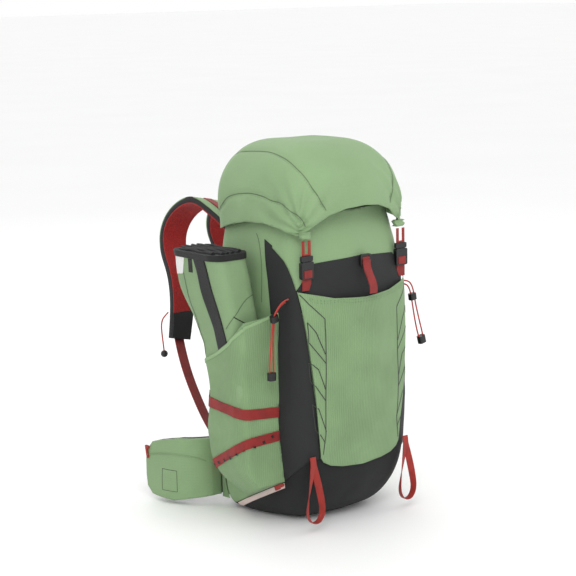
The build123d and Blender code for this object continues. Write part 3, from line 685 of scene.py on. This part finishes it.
# Each lid seam gets a darker green strip, painted shade of its groove, and a row of stitches beside it.
for i, line in enumerate(LID_SEAMS):
    fine = curve_points(line, 0.0012)
    rolled = draped(fine, lid_tree, 0.0003, start=0.002, smooth=30)
    ribbon(f"lid_seam_shade_{i}", rolled, 0.0012, 0.0003, MAT_SEAM_SHADE, "lid")
    stitched = beside(rolled, 0.0032)
    ribbon(f"lid_stitches_{i}", stitched, 0.0006, 0.0003, MAT_STITCH, "lid", dash=2)
print("lid done")


# ---------------------------------------------------------------- printed lines and seams on the bag

front_tree = tree_of(PIECES["front_pocket"], PIECES["side_panel_left"], PIECES["side_panel_right"],
                     PIECES["front_yoke"])
bag_tree = tree_of(PIECES["main_bag"])

# Thin printed chevrons down each edge of the front pocket, left half, in mm (x, z)
CHEVRONS = (
    ((-116, 400), (-105, 384), (-80, 358), (-80, 165), (-85, 130)),
    ((-110, 355), (-96, 336), (-81, 300)),
    ((-110, 355), (-109, 322), (-80, 284)),
    ((-106, 287), (-93, 275), (-80, 239)),
    ((-106, 287), (-104, 256), (-80, 221)),
    ((-101, 217), (-93, 208), (-79, 168)),
    ((-101, 217), (-96, 173), (-81, 149)),
)
for i, line in enumerate(CHEVRONS):
    for side in (-1, 1):
        placed = []
        for point in straight_points([(side * x * MM, -0.2, z * MM) for x, z in line], 0.003):
            hit, normal, _, _ = front_tree.ray_cast(point, Vector((0, 1, 0)))
            placed.append((hit + normal * 0.0004, normal))
        ribbon(f"chevron_{i}_{'right' if side < 0 else 'left'}", placed, 0.0015, 0.0002, MAT_PRINT, "pack",
               rounded=False)

# The pocket's hem: a folded edge with two rows of stitches
HEM = ((-116, 402), (-100, 397), (-60, 391), (0, 387.5), (60, 391), (100, 397), (116, 402))
pocket_tree = tree_of(PIECES["front_pocket"])
for drop, name in ((-2.5, "upper"), (-6.5, "lower")):
    points = [(x * MM, -0.160, (z + drop) * MM) for x, z in HEM]
    placed = draped(curve_points(points, 0.0014), pocket_tree, 0.0004)
    ribbon(f"hem_stitches_{name}", placed, 0.0007, 0.0004, MAT_STITCH, "pack", dash=2)

# Upright seam of the bag from the lid to the side panel's tip, drawn as a darker green strip that paints the
# shade in its groove
for side in (-1, 1):
    line = [(side * 0.127, -0.020, 0.494), (side * 0.129, -0.030, 0.478), (side * 0.132, -0.040, 0.440),
            (side * 0.134, -0.042, 0.380)]
    placed = draped(curve_points(line, 0.002), bag_tree, 0.0002, smooth=6)
    ribbon(f"bag_seam_shade_{'right' if side > 0 else 'left'}", placed, 0.0013, 0.0003, MAT_SEAM_SHADE, "pack")
print("prints done")


# ---------------------------------------------------------------- shoulder straps and hip wings


def foam_swell(point):
    return Vector((0, 0, 0.0004 * noise.noise(point * 60)))


for side in ("left", "right"):
    body = f"shoulder_{side}"
    pad = soft_copy(f"shoulder_pad_{side}", MAT_BINDING, rounds=2, move=foam_swell)
    liner = soft_copy(f"shoulder_liner_{side}", MAT_RED_LINER, longest=0.005, rounds=2)
    faces_to(liner, MAT_BINDING, lambda c: c.z < 0.318 and c.y < 0.300)
    cover = soft_copy(f"shoulder_cover_{side}", MAT_GREEN, longest=0.005, rounds=2)
    faces_to(cover, MAT_FOAM, lambda c: c.z < 0.43)
    faces_to(cover, MAT_BINDING, lambda c: 0.235 < c.y < 0.256 and c.z > 0.49)
    wing = f"hip_wing_{side}"
    hip_pad = soft_copy(f"hip_pad_{side}", MAT_FOAM, rounds=3, move=foam_swell)


def wing_slack(point):
    """A stuffed belt pocket: soft uneven bulges and dents across its cloth."""
    out = Vector((math.copysign(0.75, point.x), -0.66, 0))
    broad = noise.noise(Vector((point.x * 24, point.y * 24, point.z * 22)))
    fine = noise.noise(Vector((point.x * 55, point.y * 55, point.z * 40 + 5)))
    lift = 0.0013 * broad + 0.0006 * fine - 0.0004
    return out * lift


for side in ("left", "right"):
    sign = -1 if side == "left" else 1
    pouch = soft_copy(f"hip_pocket_{side}", MAT_GREEN, longest=0.005, rounds=5,
                      move=wing_slack)
    pouch_tree = tree_of(pouch)
    wing = f"hip_wing_{side}"

    def on_wing(points, spacing=0.0015, lift=0.0001):
        line = curve_points([(sign * x * MM, y * MM, z * MM) for x, y, z in points], spacing)
        placed = []
        for point in line:
            hit, normal, _, _ = pouch_tree.find_nearest(point)
            if normal.x * sign < 0 and normal.y > 0:
                normal = -normal
            placed.append((hit + normal * lift, normal))
        return placed

    zip_line = ((198, 203, 84), (194, 180, 88), (187, 156, 91), (176, 133, 91), (160, 113, 87),
                (146, 104, 80))
    ribbon(f"hip_zip_{side}", on_wing(zip_line), 0.0032, 0.0008, MAT_GREEN, wing)
    ribbon(f"hip_zip_coil_{side}", on_wing(zip_line, 0.0006, 0.0006), 0.0012, 0.0007, MAT_STITCH, wing,
           dash=2)
    outline = ((191, 174, 62), (182, 143, 62), (182, 143, 24), (191, 174, 24), (191, 174, 62))
    corners = [(sign * x * MM, y * MM, z * MM) for x, y, z in outline]
    placed = []
    for point in straight_points(corners, 0.002):
        hit, normal, _, _ = pouch_tree.find_nearest(point)
        placed.append((hit + normal * 0.0001, normal))
    ribbon(f"hip_patch_{side}", placed, 0.0009, 0.0002, MAT_PRINT, wing, rounded=False)

for node, fill in (("lumbar_pad", 0.85), ("back_panel", 0.9)):
    soft_copy(node, MAT_FOAM, longest=0.005, rounds=2, move=foam_swell)
soft_copy("yoke_panel", MAT_DARK, rounds=1)
print("harness done")


# ---------------------------------------------------------------- the rolled camp seat


SEAT_FLAP_SIDE = Vector((-0.77, 0.64, 0))


def seat_creases(point):
    """Slack folds of a rolled seat: up and down its flaps, with one flap swelling out to a side."""
    out = Vector((point.x + 0.155, point.y - 0.01, 0))
    out = out.normalized() if out.length > 1e-4 else Vector((-1, 0, 0))
    broad = noise.noise(Vector((point.x * 22, point.y * 22, point.z * 11)))
    wave = math.sin(point.z * 70 + point.y * 60 + 4 * noise.noise(point * 15))
    top = 1 - smoothstep(0.45, 0.464, point.z)
    flap = max(0.0, out.dot(SEAT_FLAP_SIDE)) ** 4 * math.exp(-(((point.z - 0.395) / 0.038) ** 2))
    return out * ((0.0016 * broad + 0.0008 * wave - 0.0004) * top + 0.009 * flap)


seat = soft_copy("seat_roll", MAT_SEAT, longest=0.005, rounds=5, move=seat_creases)
soft_copy("seat_trim", MAT_BLACK, longest=0.005, rounds=2, move=seat_creases)
print("seat done")


# ---------------------------------------------------------------- webbing, buckles, zips, frame


def dress(node, material, bevel=0.0):
    """A CAD node kept as it is, with its finish and softly broken edges."""
    NODES[node].data.materials.clear()
    NODES[node].data.materials.append(material)
    finish_mesh(NODES[node], 35)
    if bevel:
        rounded = NODES[node].modifiers.new("broken edges", "BEVEL")
        rounded.width = bevel
        rounded.segments = 3
        rounded.limit_method = "ANGLE"
        rounded.angle_limit = math.radians(50)


for side in ("left", "right"):
    soft_copy(f"compression_straps_{side}", MAT_RED, longest=0.005, rounds=0, move=side_slack)
    soft_copy(f"lid_strap_{side}", MAT_RED_BRIGHT, longest=0.004, rounds=0)
    soft_copy(f"sternum_strap_{side}", MAT_BLACK, longest=0.004, rounds=0)
    soft_copy(f"hip_webbing_{side}", MAT_BLACK, longest=0.004, rounds=0)
    dress(f"hip_buckle_{side}", MAT_PLASTIC, 0.0009)
    dress(f"buckle_plug_{side}", MAT_PLASTIC, 0.0009)
    dress(f"tool_toggle_{side}", MAT_PLASTIC)
    dress(f"hip_zip_slider_{side}", MAT_RED_BRIGHT)
soft_copy("centre_strap", MAT_RED, longest=0.003, rounds=0)
soft_copy("front_webbing", MAT_RED, longest=0.003, rounds=0)
soft_copy("grab_handle", MAT_BLACK, longest=0.003, rounds=0)
dress("front_buckles", MAT_PLASTIC, 0.0009)
dress("base_zip", MAT_ZIP_TAPE)
dress("base_zip_slider", MAT_RED_BRIGHT)
dress("lid_zip_slider", MAT_RED_BRIGHT)
dress("stow_ball", MAT_PLASTIC)
dress("collar_drawcord", MAT_CORD_DARK)
dress("frame_sheet", MAT_SHEET)
dress("frame_stay", MAT_STAY)


def webbing_wrap(name, x, low, high, width):
    """Webbing folded round a buckle's bar, standing just proud of the buckle's front face."""
    tree = tree_of(NODES["front_buckles"])
    thickness = 0.0016
    middle = (low + high) / 2
    bm = bmesh.new()
    bmesh.ops.create_cube(bm, size=1)
    face = tree.ray_cast(Vector((x, -0.3, middle)), Vector((0, 1, 0)))[0]
    for vert in bm.verts:
        vert.co = Vector((x + vert.co.x * width, face.y + vert.co.y * thickness,
                          middle + vert.co.z * (high - low)))
    bmesh.ops.bevel(bm, geom=bm.edges[:], offset=0.0006, segments=3, affect="EDGES")
    mesh = bpy.data.meshes.new(name)
    bm.to_mesh(mesh)
    bm.free()
    finish_mesh(new_piece(name, mesh, MAT_RED, "pack"))


webbing_wrap("buckle_wrap_left", -0.104, 0.427, 0.440, 0.017)
webbing_wrap("buckle_wrap_right", 0.104, 0.427, 0.440, 0.017)
webbing_wrap("buckle_wrap_centre", 0.007, 0.441, 0.452, 0.015)


# Loops for ice axes: narrow webbing folded into a drop, twisting half a turn, its ends sewn together
AXE_LOOP = ((0, 120), (-2.5, 108), (-6, 92), (-10.5, 72), (-14.5, 52), (-16, 38), (-14, 27), (-8, 19),
            (0, 16.5), (8, 19), (14, 27), (16, 38), (14.5, 52), (10.5, 72), (6, 92), (2.5, 108), (0, 120))
for side, sign in (("left", -1), ("right", 1)):
    path = curve_points([((sign * 104 + x) * MM, -0.1385, z * MM) for x, z in AXE_LOOP], 0.002)
    along = [i / (len(path) - 1) for i in range(len(path))]
    path = [p + Vector((0, 0.0030 * abs(2 * t - 1) ** 3 + 0.0008 * (2 * t - 1), 0))
            for p, t in zip(path, along)]
    turn = [Vector((math.cos(math.pi * t), math.sin(math.pi * t), 0)) for t in along]
    loop = f"axe_loop_{side}"
    strap(f"axe_loop_webbing_{side}", path, turn, 0.0115, 0.0014, MAT_RED_BRIGHT, loop,
          replaces=(f"ice_axe_loop_{side}",))
    x = sign * 104
    tab = curve_points(mm((x, -134.6, 128), (x, -136.2, 118), (x, -136.6, 106)), 0.002)
    strap(f"axe_loop_tab_{side}", tab, Vector((1, 0, 0)), 0.012, 0.0016, MAT_RED_BRIGHT, loop)

# Webbing and cloth that cross a joint
for side, sign in (("left", -1), ("right", 1)):
    shoulder = f"shoulder_{side}"
    wing = f"hip_wing_{side}"
    soft_copy(f"shoulder_webbing_{side}", MAT_RED, longest=0.004, rounds=0,
              keep=lambda c: c.z < 0.35, name=f"shoulder_adjuster_{side}",
              blend=(shoulder, "pack", (sign * 0.106, 0.256, 0.272), (sign * 0.124, 0.122, 0.131)))
    soft_copy(f"shoulder_webbing_{side}", MAT_RED, longest=0.004, rounds=0,
              keep=lambda c: c.z > 0.40, name=f"load_lifter_{side}",
              blend=(shoulder, "pack", (sign * 0.045, 0.215, 0.518), (sign * 0.045, 0.115, 0.480)))
    root = curve_points(mm((sign * 47, 102.9, 466), (sign * 47, 107, 477), (sign * 47.5, 119, 482.5),
                           (sign * 48.5, 134, 490.5), (sign * 50, 148, 497)), 0.002)
    strap(f"strap_root_{side}", root, Vector((1, 0, 0)), 0.052, 0.0012, MAT_BINDING, None,
          blend=("pack", shoulder, (sign * 0.047, 0.103, 0.466), (sign * 0.048, 0.134, 0.490)))
    root = curve_points(mm((sign * 93, 100, 64), (sign * 104, 103.5, 64), (sign * 112, 108.5, 64),
                           (sign * 122, 111.5, 64), (sign * 130, 113, 64)), 0.002)
    strap(f"wing_root_{side}", root, Vector((0, 0, 1)), 0.094, 0.0012, MAT_BINDING, None,
          blend=("pack", wing, (sign * 0.100, 0.102, 0.064), (sign * 0.122, 0.1115, 0.064)))
flap = curve_points(mm((0, 102.9, 476), (0, 103.2, 485), (0, 103.4, 494), (0, 103.2, 502)), 0.002)
strap("lid_back_flap", flap, Vector((1, 0, 0)), 0.150, 0.0008, MAT_GREEN, None,
      blend=("pack", "lid", (0, 0.103, 0.480), (0, 0.1034, 0.495)))


# ---------------------------------------------------------------- small sewn details

# Hems of the side pockets, in mm
POCKET_HEMS = {
    "left": ((-125, -86, 367), (-160, -82, 356), (-190, -74, 347), (-203, -55, 330), (-206, -30, 311),
             (-206, 0, 293), (-204, 35, 277), (-192, 58, 271), (-160, 72, 267)),
    "right": ((125, -84, 367), (148, -74, 354), (158, -60, 338), (161, -30, 311), (161, 0, 293),
              (159, 35, 277), (146, 58, 271)),
}
for side, hem in POCKET_HEMS.items():
    hem_tree = tree_of(PIECES[f"side_pocket_{side}"])
    placed = []
    for point in curve_points(mm(*hem), 0.002):
        hit, normal, _, _ = hem_tree.find_nearest(point + bag_axis(point) * 0.006)
        normal = normal if normal.dot(bag_axis(hit)) > 0 else -normal
        placed.append((hit + normal * 0.0003, normal))
    ribbon(f"side_pocket_hem_{side}", placed, 0.0055, 0.0006, MAT_HEM, "pack")

# A zip tape with teeth along the base, and one across the back of the lid
base_zip_tree = tree_of(NODES["base_zip"])
run = curve_points(mm((-129, -78, 73), (-129, -40, 55), (-126, 0, 36), (-118, 30, 20), (-103, 53, 5)), 0.0006)
placed = []
for point in run:
    hit, normal, _, _ = base_zip_tree.find_nearest(point)
    placed.append((hit + normal * 0.0002, normal))
ribbon("base_zip_teeth", placed, 0.0030, 0.0009, MAT_ZIP_COIL, "pack", dash=2)
run = curve_points(mm((-80, 103, 560), (-40, 104, 560), (0, 104, 560), (40, 104, 560), (80, 103, 560)),
                   0.0006)
hits = [lid_tree.find_nearest(p)[0] for p in run]
placed = [(hit + Vector((0, 0.0002, 0)), Vector((0, 1, 0))) for hit in hits]
ribbon("lid_zip_tape", placed, 0.0085, 0.0006, MAT_BINDING, "lid")
raised = [(p + Vector((0, 0.0007, 0)), n) for p, n in placed]
ribbon("lid_zip_teeth", raised, 0.0026, 0.0007, MAT_PLASTIC, "lid", dash=2)

# The lower left compression strap has a woven pattern of dark dashes
strap_tree = tree_of(NODES["compression_straps_left"])
run = curve_points(mm((-140, -83, 161), (-165, -79, 150), (-195, -60, 137), (-199, -30, 122), (-199, 0, 107),
                      (-196, 20, 97)), 0.0045)
placed = []
for point in run:
    hit, normal, _, _ = strap_tree.find_nearest(point + bag_axis(point) * 0.006)
    out = Vector((hit.x, hit.y, 0))
    normal = normal if normal.dot(out) > 0 else -normal
    shift = side_slack(hit)
    placed.append((hit + shift + normal * 0.0003, normal))
ribbon("strap_pattern", placed, 0.0050, 0.0002, MAT_BLACK, "pack", dash=2, rounded=False)

# The folded layers on top of the rolled seat, bound in black
faces_to(seat, MAT_BINDING, lambda c: c.z > 0.4645)
for k in range(6):
    x = -0.214 + 0.0108 * k
    reach = 0.056 if k in (1, 2, 3, 4) else 0.046
    line = []
    for j in range(13):
        t = -1 + j / 6
        sway = 0.0012 * math.sin(7 * t + 2 * k)
        height = 0.4662 + 0.0007 * math.sin(5 * t + k)
        line.append(Vector((x + sway, 0.024 + reach * t, height)))
    tube(f"seat_layer_{k}", line, 0.0036, MAT_BINDING, "camp_seat")

# Label, tab and seams of the seat; the darker green seam strips are painted shade of their grooves
seat_tree = tree_of(seat)
patch("seat_label", mm((-226, 44, 458), (-226, 82, 458), (-222, 80, 424), (-222, 52, 428)), seat_tree, 0.0006,
      MAT_LABEL, "camp_seat")
patch("seat_tab", mm((-226, 24, 455), (-226, 34, 455), (-224, 36, 432), (-224, 26, 432)), seat_tree, 0.0006,
      MAT_BLACK, "camp_seat", steps=6)
for k, (line, width, material) in enumerate((
    (((-150, -36, 394), (-166, -49, 392), (-185, -51, 377), (-202, -46, 355), (-208, -38, 343)), 0.0012,
     MAT_SEAM_SHADE),
    (((-198, -51, 365), (-184, -51, 356), (-168, -49, 346)), 0.0016, MAT_BLACK),
    (((-219, 50, 430), (-217, 44, 400), (-213, 40, 360), (-208, 36, 320), (-203, 32, 290)), 0.0012, MAT_SEAM_SHADE),
    (((-216, 78, 420), (-212, 70, 385), (-210, 52, 352), (-206, 40, 330)), 0.0012, MAT_SEAM_SHADE),
)):
    placed = []
    for point in curve_points(mm(*line), 0.002):
        hit, normal, _, _ = seat_tree.find_nearest(point)
        placed.append((hit + normal * 0.0004, normal))
    ribbon(f"seat_seam_{k}", placed, width, 0.0003, material, "camp_seat", rounded=False)
print("details done")


# ---------------------------------------------------------------- cords

TOOL_CORD_LEFT = mm(
    (-127.6, -99, 386), (-136, -101, 385), (-143, -99, 378), (-147, -96, 366), (-149, -94, 348),
    (-150, -93, 322), (-149.4, -92, 298), (-148.6, -91.6, 279), (-148.8, -91.5, 262), (-157.2, -91.4, 262.4),
    (-157.4, -91.8, 279), (-156.4, -92.6, 298), (-155, -94, 322), (-153.6, -96, 348), (-151.6, -98, 366),
    (-146, -103, 381), (-136, -106, 391), (-126, -105, 392))
TOOL_CORD_RIGHT = mm(
    (127.6, -99, 386), (136, -103, 386), (143, -105, 379), (147, -106, 366), (149, -107, 350),
    (152.4, -108, 328), (157, -108, 308), (161.4, -108, 294), (165.4, -108.3, 280), (173.4, -108.8, 282.6),
    (170.4, -109, 297), (165.6, -109, 312), (160, -109, 331), (154.4, -109, 351), (151.6, -109, 366),
    (146, -110, 382), (137, -110, 392), (126.6, -106, 393))
STOW_CORD = mm((-106, 262, 318), (-108, 268, 312), (-109, 276, 304), (-108.4, 281, 292), (-107, 281.6, 276),
               (-106, 280, 258), (-105.4, 279, 246))
CORD_DIAMETER = 0.0026


def free_cord(node, points, body):
    """A cord that hangs from the pack, as one smooth curve through the route's control points."""
    curve = bpy.data.curves.new(f"{node}_run", "CURVE")
    curve.dimensions = "3D"
    curve.bevel_depth = CORD_DIAMETER / 2
    curve.bevel_resolution = 4
    curve.resolution_u = 12
    curve.use_fill_caps = True
    spline = curve.splines.new("NURBS")
    spline.points.add(len(points) - 1)
    for target, point in zip(spline.points, points):
        target.co = (*point, 1)
    spline.order_u = 3
    spline.use_endpoint_u = True
    piece = bpy.data.objects.new(f"{node}_run", curve)
    bpy.context.scene.collection.objects.link(piece)
    paint(piece, MAT_CORD)
    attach(piece, body)
    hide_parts(node)


free_cord("tool_cord_left", TOOL_CORD_LEFT, "pack")
free_cord("tool_cord_right", TOOL_CORD_RIGHT, "pack")
free_cord("stow_cord", STOW_CORD, "shoulder_left")
print("cords done")


# ---------------------------------------------------------------- floor, light and camera


def studio():
    floor_mesh = bpy.data.meshes.new("floor")
    bm = bmesh.new()
    rows = []
    for y in (-12, 40):
        rows.append([bm.verts.new((x, y, -0.0002)) for x in (-40, 40)])
    bm.faces.new((rows[0][0], rows[0][1], rows[1][1], rows[1][0]))
    bm.to_mesh(floor_mesh)
    bm.free()
    floor = bpy.data.objects.new("floor", floor_mesh)
    bpy.context.scene.collection.objects.link(floor)
    s = Shader("pale floor", 0.55)
    s.colour((246, 246, 246), (252, 252, 252), s.noise(1.5))
    paint(floor, s.material)
    world = bpy.data.worlds.new("studio air")
    bpy.context.scene.world = world
    bpy.context.scene.view_settings.view_transform = "Standard"
    world.use_nodes = True
    world.node_tree.nodes["Background"].inputs["Color"].default_value = (1, 1, 1, 1)
    world.node_tree.nodes["Background"].inputs["Strength"].default_value = 1.0
    for name, place, size, power in (
        ("key", (-1.6, -2.2, 2.6), 1.6, 34),
        ("fill", (2.4, -1.6, 1.4), 2.0, 8),
        ("back", (0.5, 2.4, 2.2), 1.8, 14),
    ):
        light = bpy.data.lights.new(name, "AREA")
        light.shape = "SQUARE"
        light.size = size
        light.energy = power
        lamp = bpy.data.objects.new(name, light)
        bpy.context.scene.collection.objects.link(lamp)
        lamp.location = place
        lamp.rotation_euler = (Vector((0, 0, 0.3)) - Vector(place)).to_track_quat("-Z", "Y").to_euler()


def photo_camera():
    place = Vector((-1.9222, -2.2990, 0.9072))
    aim = Vector((-0.0149, 0.0312, 0.3800))
    data = bpy.data.cameras.new("camera")
    data.lens = 110.6
    data.sensor_width = 36
    camera = bpy.data.objects.new("camera", data)
    bpy.context.scene.collection.objects.link(camera)
    turn = (aim - place).to_track_quat("-Z", "Y").to_matrix().to_4x4()
    camera.matrix_world = Matrix.Translation(place) @ turn @ Matrix.Rotation(math.radians(-1.0), 4, "Z")
    bpy.context.scene.camera = camera


studio()
photo_camera()
